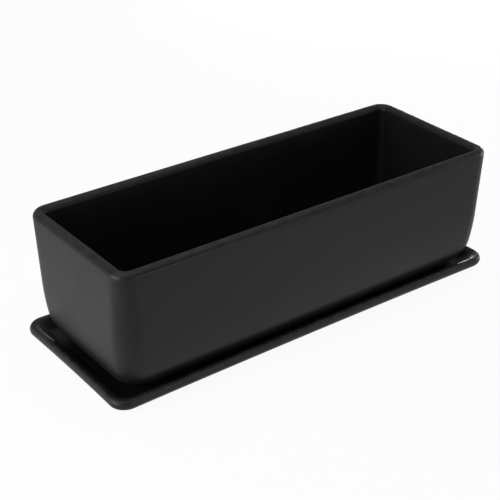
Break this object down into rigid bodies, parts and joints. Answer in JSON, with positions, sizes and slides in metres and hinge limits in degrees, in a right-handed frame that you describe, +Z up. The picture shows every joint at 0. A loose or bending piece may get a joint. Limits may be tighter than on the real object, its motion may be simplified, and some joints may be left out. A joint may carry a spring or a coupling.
{
  "type": "rectangular planter",
  "caption": "Long rectangular ceramic planter with round corners and rim, open at the top, standing loose in a low lipped saucer on rubber pads.",
  "frame": {"origin": "on the surface that the pads stand on, under the middle of the saucer's outline", "axes": "+X along the planter's length, +Y from its front to its back, +Z up out of its open top"},
  "size_m": [0.3156, 0.1212, 0.0985],
  "materials": {
    "pot_glaze": "satin black",
    "saucer_glaze": "satin black",
    "pad_rubber": "matte"
  },
  "bodies": {
    "saucer_body": {"saucer": "saucer_glaze", "pad_front_left": "pad_rubber", "pad_front_right": "pad_rubber", "pad_back_left": "pad_rubber", "pad_back_right": "pad_rubber"},
    "pot_body": {"pot": "pot_glaze"}
  },
  "joints": [
    {"name": "pot_lift", "type": "slide", "parent": "saucer_body", "child": "pot_body", "axis": [0, 0, 1], "range_m": [0, 0.12]}
  ]
}
